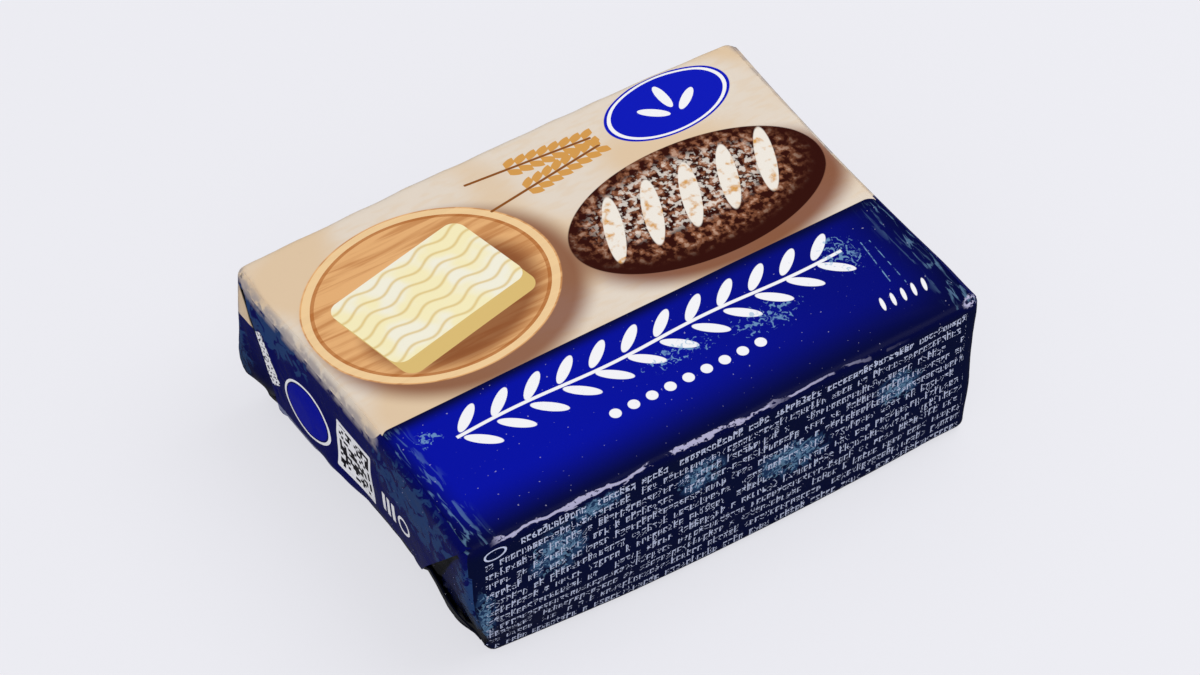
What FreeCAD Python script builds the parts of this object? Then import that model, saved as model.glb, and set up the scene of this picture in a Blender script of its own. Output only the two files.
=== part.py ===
"""A 200 g margarine block shut in its printed wrapper, as one solid.

The wrapper is drawn tight round the soft block.  The long sides bulge a little, the top is slightly crowned,
and the ends are dished between their upright folds, which lean in towards the foot, each by its own amount.
Each end carries the flaps of an envelope fold: the foot flap is folded up first and the top flap is folded down
over it, so that they stand on each other in low steps.  The front left corner of the foot is pressed in.  The
sheet closes in a long lap under the block, which rests on it.

Frame: +X along the block, +Y towards its back, +Z up.  The origin is the middle of the underside.
"""

import FreeCAD, Part
import math
import os

import Sketcher
from FreeCAD import Vector

OUT_FOLDER = "parts"
NODE = "wrapped_block"

SIZES = {
    # the block in its wrapper, over all
    "block_length": 100.0,
    "block_width": 75.0,
    "block_height": 32.0,
    # how far in along the block each upright fold stands at the block's waist and at its foot
    "waist_rise": 13.0,
    "front_left_waist_lean": 1.6,
    "front_left_foot_lean": 4.2,
    "back_left_waist_lean": 0.2,
    "back_left_foot_lean": 0.6,
    "front_right_waist_lean": 0.8,
    "front_right_foot_lean": 1.2,
    "back_right_waist_lean": 0.5,
    "back_right_foot_lean": 1.2,
    # how deep each end is dished at its rim and at its foot
    "left_rim_dish": 1.8,
    "left_foot_dish": 2.0,
    "right_rim_dish": 1.2,
    "right_foot_dish": 1.6,
    # the long sides: how far in they stand at the foot and how far they bulge, there and above
    "side_foot_lean": 0.5,
    "side_bulge": 0.6,
    "front_foot_bulge": 1.9,
    "back_foot_bulge": 0.6,
    # how much further in the foot stands at the corner that is pressed in
    "front_left_foot_press": 2.0,
    # how far the middle of the top stands above its corners
    "top_crown": 0.4,
    # roundings of the foot and the upright folds, which are rounded together, and of the top rim
    "fold_round": 2.0,
    "rim_round": 1.3,
    # the top flap: how far down it reaches, how much each slanted side closes in on the way, and its step
    "flap_drop": 24.5,
    "flap_slant": 17.0,
    "flap_step": 0.7,
    # the foot flap under it
    "tail_rise": 14.0,
    "tail_slant": 10.0,
    "tail_step": 0.35,
    # how deep a flap starts inside the wall, so that it grows out of it, and how far it stays off the folds
    "root_depth": 0.15,
    "flap_margin": 0.3,
    # the lap of the sheet under the block: its step, and how far behind the middle its free edge lies
    "lap_step": 0.3,
    "lap_edge": 9.0,
}

# Lengths that several pieces share, as expressions on the sheet's cells.
HALF_LENGTH = "Sizes.block_length / 2"
TOP_SIDE = "(Sizes.block_width / 2 - Sizes.side_bulge)"
FOOT_SIDE = f"({TOP_SIDE} - Sizes.side_foot_lean)"
WAIST_SHARE = "(Sizes.waist_rise / Sizes.block_height)"
WAIST_SIDE = f"({FOOT_SIDE} + Sizes.side_foot_lean * {WAIST_SHARE})"
PRESSED_SIDE = f"({FOOT_SIDE} - Sizes.front_left_foot_press)"
HALF_DIAGONAL = "sqrt(Sizes.block_length^2 + Sizes.block_width^2) / 2"
RIM_FOOT = "(Sizes.block_height - Sizes.top_crown - Sizes.rim_round)"
FOLD_FOOT = "Sizes.fold_round * 1.4"
FLAP_ROOT = f"({TOP_SIDE} - Sizes.fold_round - Sizes.flap_margin)"
TAIL_ROOT = f"({FOOT_SIDE} - Sizes.fold_round - Sizes.flap_margin)"
# How far a tool or a bar reaches past what it cuts.
CLEAR = 5.0

# The corners of a level section, anticlockwise as seen from above, and the edge that follows each.
CORNERS = ("front_left", "front_right", "back_right", "back_left")
EDGES = ("front", "right", "back", "left")

# How the sketcher numbers its origin and upright axis, and the start, end and centre of a line or arc.
ORIGIN, Y_AXIS = (-1, 1), -2
START, END, CENTRE = 1, 2, 3


def make_sheet(doc):
    """The driving dimensions, one cell each."""
    sheet = doc.addObject("Spreadsheet::Sheet", "Sizes")
    for row, (alias, size) in enumerate(SIZES.items(), start=1):
        sheet.set(f"A{row}", alias)
        sheet.set(f"B{row}", str(size))
        sheet.setAlias(f"B{row}", alias)
    doc.recompute()


def new_sketch(body, name, role, lift=None):
    """A sketch on the body's own origin plane of that role, lifted along its normal by an expression."""
    plane = next(found for found in body.Origin.OriginFeatures if found.Role == role)
    sketch = body.newObject("Sketcher::SketchObject", name)
    sketch.AttachmentSupport = (plane, [""])
    sketch.MapMode = "FlatFace"
    if lift:
        sketch.setExpression("AttachmentOffset.Base.z", lift)
    return sketch


def join_ends(sketch, *joints):
    """Holds pairs of ends together, each given as geometry, end, geometry, end."""
    for joint in joints:
        sketch.addConstraint(Sketcher.Constraint("Coincident", *joint))


def value(sketch, expression):
    """What an expression on the sheet's cells gives now."""
    return float(sketch.evalExpression(expression))


def bind(sketch, name, expression, kind, *where):
    """Adds a dimension to a sketch, which is drawn at its true size, and binds it to an expression."""
    index = sketch.addConstraint(Sketcher.Constraint(kind, *where, value(sketch, expression)))
    sketch.renameConstraint(index, name)
    sketch.setExpression(f"Constraints.{name}", expression)


def arc_radius(half_chord, sag):
    """The radius of an arc, as an expression on those for half its chord and its middle's offset."""
    return f"(({half_chord})^2 + ({sag})^2) / (2 * ({sag}))"


def place(sketch, name, point, across, up):
    """Holds a point at two distances from the sketch's origin, on the side of it where it is drawn."""
    spot = sketch.getPoint(*point)
    for kind, expression, drawn in (("DistanceX", across, spot.x), ("DistanceY", up, spot.y)):
        ends = (*ORIGIN, *point) if drawn > 0 else (*point, *ORIGIN)
        bind(sketch, f"{name}_{kind}", expression, kind, *ends)


def sagged_arc(start, end, sag):
    """The arc from start to end whose middle stands sag to the right of the straight way there."""
    along = (end - start).normalize()
    return Part.Arc(start, (start + end) / 2 + Vector(along.y, -along.x, 0) * sag, end)


def level_outline(body, name, lift, reach, side, sag):
    """A level section of the block, with bulged long sides and dished ends. Its sizes are expressions.

    reach(corner) and side(corner) give how far a corner lies along the block and across it, and sag(edge) how
    far the middle of an edge stands off the straight way between its corners.
    """
    sketch = new_sketch(body, name, "XY_Plane", lift)
    spots = [
        Vector(
            value(sketch, reach(corner)) * (1 if "right" in corner else -1),
            value(sketch, side(corner)) * (1 if "back" in corner else -1),
            0,
        )
        for corner in CORNERS
    ]
    signed_sags = {
        edge: value(sketch, sag(edge)) * (1 if edge in ("front", "back") else -1) for edge in EDGES
    }
    front, right, back, left = (
        sketch.addGeometry(sagged_arc(spots[index], spots[(index + 1) % 4], signed_sags[edge]))
        for index, edge in enumerate(EDGES)
    )
    # Each arc runs anticlockwise about its own centre, so the dished ends run against the outline.
    for corner, held, joined in (
        ("front_left", (front, START), (left, START)),
        ("front_right", (front, END), (right, END)),
        ("back_right", (back, START), (right, START)),
        ("back_left", (back, END), (left, END)),
    ):
        sketch.addConstraint(Sketcher.Constraint("Coincident", *held, *joined))
        place(sketch, corner, held, reach(corner), side(corner))
    for index, (edge, arc) in enumerate(zip(EDGES, (front, right, back, left))):
        start, end = CORNERS[index], CORNERS[(index + 1) % 4]
        is_long = edge in ("front", "back")
        run = f"({reach(start)} {'+' if is_long else '-'} {reach(end)})"
        rise = f"({side(start)} {'-' if is_long else '+'} {side(end)})"
        half_chord = f"sqrt({run}^2 + {rise}^2) / 2"
        bind(sketch, f"{edge}_radius", arc_radius(half_chord, sag(edge)), "Radius", arc)
    return sketch


def drawn_in_walls(doc, name, grow_foot="0", grow_waist="0", grow_rim="0"):
    """A body lofted through the block's three level outlines.

    Each grow expression moves both ends outwards at that level, for the outer face of a flap.
    """
    body = doc.addObject("PartDesign::Body", name)
    foot = level_outline(
        body,
        f"{name}_foot",
        None,
        lambda corner: f"({HALF_LENGTH} - Sizes.{corner}_foot_lean + {grow_foot})",
        lambda corner: PRESSED_SIDE if corner == "front_left" else FOOT_SIDE,
        lambda edge: f"Sizes.{edge}_foot_{'bulge' if edge in ('front', 'back') else 'dish'}",
    )
    waist = level_outline(
        body,
        f"{name}_waist",
        "Sizes.waist_rise",
        lambda corner: f"({HALF_LENGTH} - Sizes.{corner}_waist_lean + {grow_waist})",
        lambda corner: WAIST_SIDE,
        lambda edge: "Sizes.side_bulge" if edge in ("front", "back") else waist_dish(edge),
    )
    rim = level_outline(
        body,
        f"{name}_rim",
        "Sizes.block_height",
        lambda corner: f"({HALF_LENGTH} + {grow_rim})",
        lambda corner: TOP_SIDE,
        lambda edge: "Sizes.side_bulge" if edge in ("front", "back") else f"Sizes.{edge}_rim_dish",
    )
    loft = body.newObject("PartDesign::AdditiveLoft", f"{name}_walls")
    loft.Profile = foot
    loft.Sections = [waist, rim]
    loft.Ruled = False
    doc.recompute()
    return body


def waist_dish(end):
    """How deep an end is dished at the waist: in the proportion of its height, between foot and rim."""
    return f"(Sizes.{end}_foot_dish + (Sizes.{end}_rim_dish - Sizes.{end}_foot_dish) * {WAIST_SHARE})"


def crown_top(doc, body):
    """Cuts the flat top down to a shallow dome that is highest in the middle."""
    sketch = new_sketch(body, "crown_profile", "XZ_Plane")
    height, crown, reach = (
        value(sketch, expression) for expression in ("Sizes.block_height", "Sizes.top_crown", HALF_DIAGONAL)
    )
    radius = value(sketch, arc_radius(HALF_DIAGONAL, "Sizes.top_crown"))
    circle = Part.Circle(Vector(0, height - radius, 0), Vector(0, 0, 1), radius)
    dome = sketch.addGeometry(Part.ArcOfCircle(circle, math.acos(reach / radius), math.pi / 2))
    ceiling = height + CLEAR
    levels = ((0, height), (0, ceiling), (reach, ceiling), (reach, height - crown))
    points = [Vector(across, level, 0) for across, level in levels]
    axle, lid, skirt = (
        sketch.addGeometry(Part.LineSegment(points[index], points[index + 1])) for index in range(3)
    )
    join_ends(
        sketch,
        (dome, END, axle, START),
        (axle, END, lid, START),
        (lid, END, skirt, START),
        (skirt, END, dome, START),
    )
    sketch.addConstraint(Sketcher.Constraint("PointOnObject", dome, CENTRE, Y_AXIS))
    sketch.addConstraint(Sketcher.Constraint("PointOnObject", axle, START, Y_AXIS))
    sketch.addConstraint(Sketcher.Constraint("Vertical", axle))
    sketch.addConstraint(Sketcher.Constraint("Vertical", skirt))
    bind(sketch, "summit", "Sizes.block_height", "DistanceY", *ORIGIN, dome, END)
    place(sketch, "corner", (skirt, START), HALF_DIAGONAL, f"Sizes.block_height + {CLEAR}")
    bind(sketch, "ceiling", f"Sizes.block_height + {CLEAR}", "DistanceY", *ORIGIN, lid, START)
    bind(sketch, "dome_radius", arc_radius(HALF_DIAGONAL, "Sizes.top_crown"), "Radius", dome)
    groove = body.newObject("PartDesign::Groove", "crown")
    groove.Profile = sketch
    groove.ReferenceAxis = (sketch, ["V_Axis"])
    groove.Angle = 360
    doc.recompute()


def round_edges(doc, body, name, radius, wanted):
    """Rounds the edges of the body's last feature for which wanted(edge) is true."""
    base = body.Tip
    fillet = body.newObject("PartDesign::Fillet", name)
    picked = [f"Edge{index}" for index, edge in enumerate(base.Shape.Edges, start=1) if wanted(edge)]
    fillet.Base = (base, picked)
    fillet.setExpression("Radius", radius)
    doc.recompute()


def is_foot_or_fold(edge):
    """Tells whether an edge is one of the block's foot or one of its upright folds."""
    height = SIZES["block_height"]
    return edge.BoundBox.ZMax < height / 8 or edge.BoundBox.ZLength > height / 2


def is_rim(edge):
    """Tells whether an edge is one of the block's top rim."""
    return edge.BoundBox.ZMin > SIZES["block_height"] * 7 / 8


def make_block(doc):
    """The block under its first layer of paper: drawn-in walls, a crowned top and rounded edges."""
    body = drawn_in_walls(doc, "block")
    crown_top(doc, body)
    round_edges(doc, body, "fold_rounding", "Sizes.fold_round", is_foot_or_fold)
    round_edges(doc, body, "rim_rounding", "Sizes.rim_round", is_rim)
    return body


def bar_through_ends(doc, name, low, high, half_low, half_high):
    """A bar along the block with a trapezium for its section, long enough to stand out of both ends."""
    body = doc.addObject("PartDesign::Body", name)
    sketch = new_sketch(body, f"{name}_outline", "YZ_Plane")
    turns = ((-1, half_low, low), (1, half_low, low), (1, half_high, high), (-1, half_high, high))
    corners = [
        Vector(across * value(sketch, half), value(sketch, level), 0) for across, half, level in turns
    ]
    bottom, right, top, left = (
        sketch.addGeometry(Part.LineSegment(corners[index], corners[(index + 1) % 4])) for index in range(4)
    )
    join_ends(
        sketch,
        (bottom, END, right, START),
        (right, END, top, START),
        (top, END, left, START),
        (left, END, bottom, START),
    )
    for line in (bottom, top):
        sketch.addConstraint(Sketcher.Constraint("Symmetric", line, START, line, END, Y_AXIS))
    place(sketch, "low_corner", (bottom, END), half_low, low)
    place(sketch, "high_corner", (top, START), half_high, high)
    pad = body.newObject("PartDesign::Pad", f"{name}_bar")
    pad.Profile = sketch
    pad.Midplane = True
    pad.setExpression("Length", f"Sizes.block_length + 2 * {CLEAR}")
    doc.recompute()
    return body


def flap_pair(doc, name, envelope, bar):
    """The flaps at both ends: the part of a bar through the block that lies within their outer faces."""
    pair = doc.addObject("Part::MultiCommon", name)
    pair.Shapes = [envelope, bar]
    doc.recompute()
    return pair


def make_top_flaps(doc):
    """The flaps that come down from the top rim and close in to their free edge."""
    envelope = drawn_in_walls(
        doc, "top_flap_face", "Sizes.flap_step", "Sizes.flap_step * 0.8", "-1 * Sizes.root_depth"
    )
    low = "Sizes.block_height - Sizes.flap_drop"
    bar = bar_through_ends(doc, "top_flap_bar", low, RIM_FOOT, f"{FLAP_ROOT} - Sizes.flap_slant", FLAP_ROOT)
    return flap_pair(doc, "top_flaps", envelope, bar)


def make_foot_flaps(doc):
    """The flaps that come up from the foot and end under the top flaps."""
    step = "Sizes.tail_step"
    envelope = drawn_in_walls(doc, "foot_flap_face", "-1 * Sizes.root_depth", step, step)
    half_high = f"{TAIL_ROOT} - Sizes.tail_slant"
    bar = bar_through_ends(doc, "foot_flap_bar", FOLD_FOOT, "Sizes.tail_rise", TAIL_ROOT, half_high)
    return flap_pair(doc, "foot_flaps", envelope, bar)


def make_lap_gap(doc):
    """What the underside lacks behind the lap's free edge, where it is one layer of paper thinner."""
    gap = doc.addObject("Part::Box", "lap_gap")
    gap.setExpression("Length", f"Sizes.block_length + 2 * {CLEAR}")
    gap.setExpression("Width", "Sizes.block_width")
    gap.setExpression("Height", f"Sizes.lap_step + {CLEAR}")
    gap.setExpression("Placement.Base.x", f"-1 * ({HALF_LENGTH} + {CLEAR})")
    gap.setExpression("Placement.Base.y", "Sizes.lap_edge")
    gap.setExpression("Placement.Base.z", f"-{CLEAR}")
    return gap


def refuse_faults(doc):
    """Stops the build if any object of the document failed, or any solid is empty or invalid."""
    for item in doc.Objects:
        if {"Invalid", "Error"} & set(item.State):
            raise RuntimeError(f"{item.Name} failed: {item.State}")
        if item.isDerivedFrom("PartDesign::Feature") or item.TypeId.startswith("Part::"):
            if item.Shape.isNull() or not item.Shape.isValid():
                raise RuntimeError(f"{item.Name} has no valid shape")


def main():
    """Builds the document and writes its one sub-part."""
    doc = FreeCAD.newDocument("margarine_block")
    make_sheet(doc)
    folded = doc.addObject("Part::MultiFuse", "folded_wrapper")
    folded.Shapes = [make_block(doc), make_top_flaps(doc), make_foot_flaps(doc)]
    wrapped = doc.addObject("Part::Cut", "lapped_wrapper")
    wrapped.Base = folded
    wrapped.Tool = make_lap_gap(doc)
    wrapped.Label = NODE
    doc.recompute()
    refuse_faults(doc)
    if len(wrapped.Shape.Solids) != 1:
        raise RuntimeError(f"{NODE} came out as {len(wrapped.Shape.Solids)} solids")
    os.makedirs(OUT_FOLDER, exist_ok=True)
    wrapped.Shape.exportStep(os.path.join(OUT_FOLDER, f"{wrapped.Label}.step"))
    box = wrapped.Shape.optimalBoundingBox(False)
    print(f"{wrapped.Label}: {box.XLength:.2f} x {box.YLength:.2f} x {box.ZLength:.2f} mm,", end=" ")
    print(f"{wrapped.Shape.Volume / 1000:.1f} cm3")


main()
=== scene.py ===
"""A block of margarine in its wrapper: one sheet of printed laminate, folded as an envelope at both ends.

The sheet is drawn round the block over the top and both long sides and closes in a lap underneath.  At each
end the long sides are tucked in first, then the foot flap is folded up and the top flap down over it.  The
print is worked out in the flat sheet's own millimetres, so that it runs on over every fold.
"""

import logging
import math
import random
from collections.abc import Callable, Iterator
from dataclasses import dataclass
from enum import Enum

import bpy
import numpy as np
from mathutils import Matrix, Vector, noise

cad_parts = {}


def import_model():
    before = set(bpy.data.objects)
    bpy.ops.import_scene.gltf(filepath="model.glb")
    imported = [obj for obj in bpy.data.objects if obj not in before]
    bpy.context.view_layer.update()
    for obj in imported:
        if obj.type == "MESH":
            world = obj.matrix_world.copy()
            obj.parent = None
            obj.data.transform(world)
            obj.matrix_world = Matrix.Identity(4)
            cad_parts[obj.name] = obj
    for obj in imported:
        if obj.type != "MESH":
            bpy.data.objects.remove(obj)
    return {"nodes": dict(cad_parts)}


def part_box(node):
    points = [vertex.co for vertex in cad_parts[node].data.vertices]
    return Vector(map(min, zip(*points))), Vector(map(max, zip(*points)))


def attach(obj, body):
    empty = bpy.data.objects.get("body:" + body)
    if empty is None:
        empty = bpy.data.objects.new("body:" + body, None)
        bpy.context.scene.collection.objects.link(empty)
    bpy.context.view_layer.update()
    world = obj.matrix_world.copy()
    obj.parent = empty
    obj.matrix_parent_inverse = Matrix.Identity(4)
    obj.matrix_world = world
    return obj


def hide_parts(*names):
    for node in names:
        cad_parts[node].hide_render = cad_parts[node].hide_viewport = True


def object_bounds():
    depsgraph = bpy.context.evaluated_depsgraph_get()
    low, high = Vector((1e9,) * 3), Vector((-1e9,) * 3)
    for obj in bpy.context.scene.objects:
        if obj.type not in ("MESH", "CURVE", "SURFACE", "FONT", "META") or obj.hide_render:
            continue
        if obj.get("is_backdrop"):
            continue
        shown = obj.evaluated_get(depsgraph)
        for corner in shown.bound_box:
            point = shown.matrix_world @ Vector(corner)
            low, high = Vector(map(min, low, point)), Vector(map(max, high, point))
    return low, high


LOG = logging.getLogger("margarine_block")
MM = 0.001
BLOCK_NODE = "wrapped_block"
ROOT_BODY = "root"
SHEET_MAP = "sheet_mm"

Piece = bpy.types.Object
Socket = bpy.types.NodeSocket
Ink = Socket | str
Layer = tuple[Ink | float, ...]
Array = np.ndarray
Point = tuple[float, float]
Spot = tuple[float, float, float]


class End(Enum):
    """The two ends of the block, each with the side of the frame's X axis on which it lies."""

    LEFT = -1
    RIGHT = 1


# ---- Colours and node trees ----


def linear(colour: str) -> tuple[float, float, float, float]:
    """Turns an sRGB hex colour to the linear values that the shaders take.

    Args:
        colour: Six hex digits after a hash sign.

    Returns:
        Linear red, green and blue, and an alpha of 1.
    """
    channels = (int(colour[place:place + 2], 16) / 255 for place in (1, 3, 5))
    light = (value / 12.92 if value <= 0.04045 else ((value + 0.055) / 1.055) ** 2.4 for value in channels)
    return *light, 1.0


def add_node(
    tree: bpy.types.NodeTree, kind: str, inputs: dict | None = None, **settings: str | bool
) -> bpy.types.NodeOutputs:
    """Adds one shader node with its settings and links.

    Args:
        tree: The node tree.
        kind: The node's type, less the ShaderNode that each type's name starts with.
        inputs: What each input takes, by its name or number: a value, or another node's output.
        **settings: The node's own settings.

    Returns:
        The new node's outputs.
    """
    node = tree.nodes.new("ShaderNode" + kind)
    for name, setting in settings.items():
        setattr(node, name, setting)
    for name, given in (inputs or {}).items():
        if isinstance(given, Socket):
            tree.links.new(given, node.inputs[name])
        else:
            node.inputs[name].default_value = given
    return node.outputs


@dataclass(frozen=True)
class Palette:
    """The printing inks, the bare paper, and the colours of the painted fold shadow and painted sheen, as
    sRGB hex values.
    """

    royal: str = "#010ea4"
    royal_far: str = "#010876"
    navy: str = "#02063a"
    night: str = "#030b32"
    cream: str = "#e3d6c7"
    cream_deep: str = "#e0c6a6"
    cloth_shade: str = "#7c3f20"
    butter: str = "#f6ecbe"
    butter_light: str = "#f3efdc"
    butter_shade: str = "#dcbd76"
    board: str = "#e6b077"
    board_rim: str = "#f3d2a0"
    board_dark: str = "#a75919"
    crust: str = "#35100a"
    crust_light: str = "#8a553a"
    crust_warm: str = "#c49e87"
    flour: str = "#efe8de"
    straw: str = "#d59b50"
    straw_dark: str = "#8c5220"
    seal: str = "#0817ba"
    white: str = "#f4f4f8"
    small_print: str = "#c3cbe6"
    worn_paper: str = "#b9b6d6"
    worn_cloth: str = "#a79e9f"
    scuff: str = "#82b0d2"
    # cloudy teal of rubbed film; on the ends it is also painted sheen, standing for the crinkled film's
    # glints
    haze_and_sheen: str = "#2f5583"
    dark_print: str = "#15141c"
    # painted shadow: near-black laid in the slits beside the top flaps and on the low parts of the tucks,
    # where the folds shade
    painted_fold_shadow: str = "#03040a"


@dataclass(frozen=True)
class Patch:
    """A place on the flat sheet: its centre and half its size in millimetres, and its turn in degrees."""

    centre: Point = (0.0, 0.0)
    half: Point = (1.0, 1.0)
    turn: float = 0.0


@dataclass(frozen=True)
class Row:
    """A row of like ovals: where it starts, how long it runs, its pitch, its level and one cell's ovals."""

    start: float
    length: float
    pitch: float
    level: float
    ovals: tuple[Patch, ...]
    soft: float


def pair(centre: Point, half: Point, turn: float) -> tuple[Patch, Patch]:
    """Gives two leaves or grains that lean away from the line between them, the first on the front's side."""
    return Patch((centre[0], -centre[1]), half, -turn), Patch(centre, half, turn)


@dataclass(frozen=True)
class PrintLayout:
    """How the flat sheet is divided, in millimetres from the middle of the top."""

    half_length: float = 50.0
    half_width: float = 37.5
    height: float = 32.0
    # the pale field: where it meets the blue, and how far it runs on over the back and the ends
    field_edge: float = -7.8
    field_over_back: float = 9.0
    field_over_end: float = 1.0
    field_corner: float = 3.0

    @property
    def field_back(self) -> float:
        """Gives where the pale field stops, down the back."""
        return self.half_width + self.field_over_back

    @property
    def underside(self) -> float:
        """Gives how far round the sheet the middle of the underside lies."""
        return 2 * self.half_width + self.height


class PrintedSheet:
    """Draws shapes of ink on the flat sheet, in the node tree of a new material.

    A shape is a coverage between 0 and 1 over the sheet's coordinates: u along the block, and v across it and
    on down its sides, both in millimetres from the middle of the top.
    """

    def __init__(self, name: str) -> None:
        """Starts a material on the sheet's coordinates, which each piece keeps in its own UV map.

        Args:
            name: The material's name.
        """
        self.material = bpy.data.materials.new(name)
        self.material.use_nodes = True
        self.tree = self.material.node_tree
        self.tree.nodes.clear()
        self.place = add_node(self.tree, "UVMap", uv_map=SHEET_MAP)["UV"]
        parts = add_node(self.tree, "SeparateXYZ", {0: self.place})
        self.u, self.v = parts["X"], parts["Y"]

    def fade(self, value: Socket, start: float, end: float) -> Socket:
        """Gives a smooth coverage that is 0 where value is start and 1 where it is end.

        Args:
            value: The value that the fade follows.
            start: Where the coverage is 0.
            end: Where the coverage is 1, above or below start.

        Returns:
            The coverage.
        """
        low, high, first, last = (start, end, 0.0, 1.0) if start < end else (end, start, 1.0, 0.0)
        limits = {"Value": value, "From Min": low, "From Max": high, "To Min": first, "To Max": last}
        return add_node(self.tree, "MapRange", limits, interpolation_type="SMOOTHSTEP")["Result"]

    def span(self, value: Socket, low: float, high: float) -> Socket:
        """Gives full coverage where value lies between low and high, with crisp edges."""
        limits = {0: value, 1: (low + high) / 2, 2: (high - low) / 2}
        return add_node(self.tree, "Math", limits, operation="COMPARE")[0]

    def both(self, *coverages: Socket | float) -> Socket:
        """Gives the part that all the coverages share.

        Args:
            *coverages: The coverages, and numbers that make the whole fainter.

        Returns:
            The shared coverage.
        """
        shared = coverages[0]
        for coverage in coverages[1:]:
            shared = add_node(self.tree, "Math", {0: shared, 1: coverage}, operation="MULTIPLY")[0]
        return shared

    def either(self, *coverages: Socket) -> Socket:
        """Gives the part that any of the coverages covers.

        Args:
            *coverages: The coverages.

        Returns:
            The joined coverage.
        """
        joined = coverages[0]
        for coverage in coverages[1:]:
            joined = add_node(self.tree, "Math", {0: joined, 1: coverage}, operation="MAXIMUM")[0]
        return joined

    def without(self, coverage: Socket, hole: Socket) -> Socket:
        """Gives a coverage less what the hole covers."""
        rest = add_node(self.tree, "Math", {0: 1.0, 1: hole}, operation="SUBTRACT")[0]
        return self.both(coverage, rest)

    def off(self, value: Socket, line: Socket | float = 0.0) -> Socket:
        """Gives how far a value lies from a line, on either side."""
        apart = add_node(self.tree, "Math", {0: value, 1: line}, operation="SUBTRACT")[0]
        return add_node(self.tree, "Math", {0: apart}, operation="ABSOLUTE")[0]

    def shifted(self, base: Socket | float, by: Socket, factor: Socket | float) -> Socket:
        """Gives a value shifted by another one times a factor."""
        return add_node(self.tree, "Math", {0: by, 1: factor, 2: base}, operation="MULTIPLY_ADD")[0]

    def waving(self, level: Socket | float, along: Socket, pace: float, swing: float) -> Socket:
        """Gives a level that swings up and down along a value."""
        angle = add_node(self.tree, "Math", {0: along, 1: pace}, operation="MULTIPLY")[0]
        return self.shifted(level, add_node(self.tree, "Math", {0: angle}, operation="SINE")[0], swing)

    def local(self, patch: Patch, source: Socket | None = None) -> Socket:
        """Gives coordinates that are 0 at a patch's centre and 1 at half its size.

        Args:
            patch: The patch.
            source: The coordinates to start from, the sheet's own if left out.

        Returns:
            The patch's own coordinates.
        """
        given = {
            "Vector": source or self.place,
            "Location": (*patch.centre, 0.0),
            "Rotation": (0.0, 0.0, math.radians(patch.turn)),
            "Scale": (*patch.half, 1.0),
        }
        return add_node(self.tree, "Mapping", given, vector_type="TEXTURE")["Vector"]

    def nearness(self, patch: Patch, source: Socket | None = None) -> Socket:
        """Gives 1 at a patch's centre, falling evenly to 0 at the ellipse through its ends."""
        given = {"Vector": self.local(patch, source)}
        return add_node(self.tree, "TexGradient", given, gradient_type="SPHERICAL")["Fac"]

    def disc(self, patch: Patch, soft: float = 0.03, source: Socket | None = None) -> Socket:
        """Covers an ellipse, with an edge as soft as that share of its radii."""
        return self.fade(self.nearness(patch, source), 0.0, soft)

    def ring(self, patch: Patch, width: float) -> Socket:
        """Covers the line just inside an ellipse, as wide as that share of its radii."""
        return self.span(self.nearness(patch), 0.001, width)

    def plate(self, patch: Patch, corner: float, source: Socket | None = None) -> Socket:
        """Covers a rectangle with rounded corners, crisply.

        Args:
            patch: The rectangle.
            corner: Its corner radius.
            source: The coordinates to start from, the sheet's own if left out.

        Returns:
            The coverage.
        """
        own = self.local(Patch(patch.centre, turn=patch.turn), source)
        folded = add_node(self.tree, "VectorMath", {0: own}, operation="ABSOLUTE")[0]
        inner = (patch.half[0] - corner, patch.half[1] - corner, 0.0)
        past = add_node(self.tree, "VectorMath", {0: folded, 1: inner}, operation="SUBTRACT")[0]
        outside = add_node(self.tree, "VectorMath", {0: past, 1: (0.0, 0.0, 0.0)}, operation="MAXIMUM")[0]
        reach = add_node(self.tree, "VectorMath", {0: outside}, operation="LENGTH")["Value"]
        return self.fade(reach, corner + 0.05, corner - 0.05)

    def mottle(
        self, size: float, detail: float = 2.0, stretch: Point = (1.0, 1.0), warp: float = 0.0
    ) -> Socket:
        """Gives a cloudy value round one half.

        Args:
            size: About how large its patches are, in millimetres.
            detail: How many finer sizes of cloud lie over them.
            stretch: Shrinks the sheet's distances along u and v, which draws the patches out.
            warp: How much the clouds are stirred.

        Returns:
            The value.
        """
        wide = {"Vector": self.place, "Scale": (stretch[0] / size, stretch[1] / size, 1.0)}
        spread = add_node(self.tree, "Mapping", wide)[0]
        given = {"Vector": spread, "Scale": 1.0, "Detail": detail, "Distortion": warp}
        return add_node(self.tree, "TexNoise", given, noise_dimensions="2D")["Fac"]

    def repeated(
        self, start: float, pitch: float, level: float, source: Socket | None = None
    ) -> tuple[Socket, Socket]:
        """Gives coordinates that begin again at every pitch.

        Args:
            start: Where the first cell begins.
            pitch: How long a cell is.
            level: The height that becomes the cells' own zero.
            source: The coordinates to start from, the sheet's own if left out.

        Returns:
            Coordinates that are 0 in the middle of each cell, and the distance along all the cells.
        """
        parts = add_node(self.tree, "SeparateXYZ", {0: source or self.place})
        run = add_node(self.tree, "Math", {0: parts["X"], 1: start}, operation="SUBTRACT")[0]
        cell = add_node(self.tree, "Math", {0: run, 1: pitch}, operation="FLOORED_MODULO")[0]
        middle = add_node(self.tree, "Math", {0: cell, 1: pitch / 2}, operation="SUBTRACT")[0]
        across = add_node(self.tree, "Math", {0: parts["Y"], 1: level}, operation="SUBTRACT")[0]
        return add_node(self.tree, "CombineXYZ", {"X": middle, "Y": across})[0], run

    def row_of(self, row: Row, source: Socket | None = None) -> Socket:
        """Covers a row of ovals.

        Args:
            row: The row.
            source: The coordinates in which it lies, the sheet's own if left out.

        Returns:
            The coverage.
        """
        cell, run = self.repeated(row.start, row.pitch, row.level, source)
        ovals = self.either(*(self.disc(oval, row.soft, cell) for oval in row.ovals))
        return self.both(ovals, self.span(run, 0.0, row.length))

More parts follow.
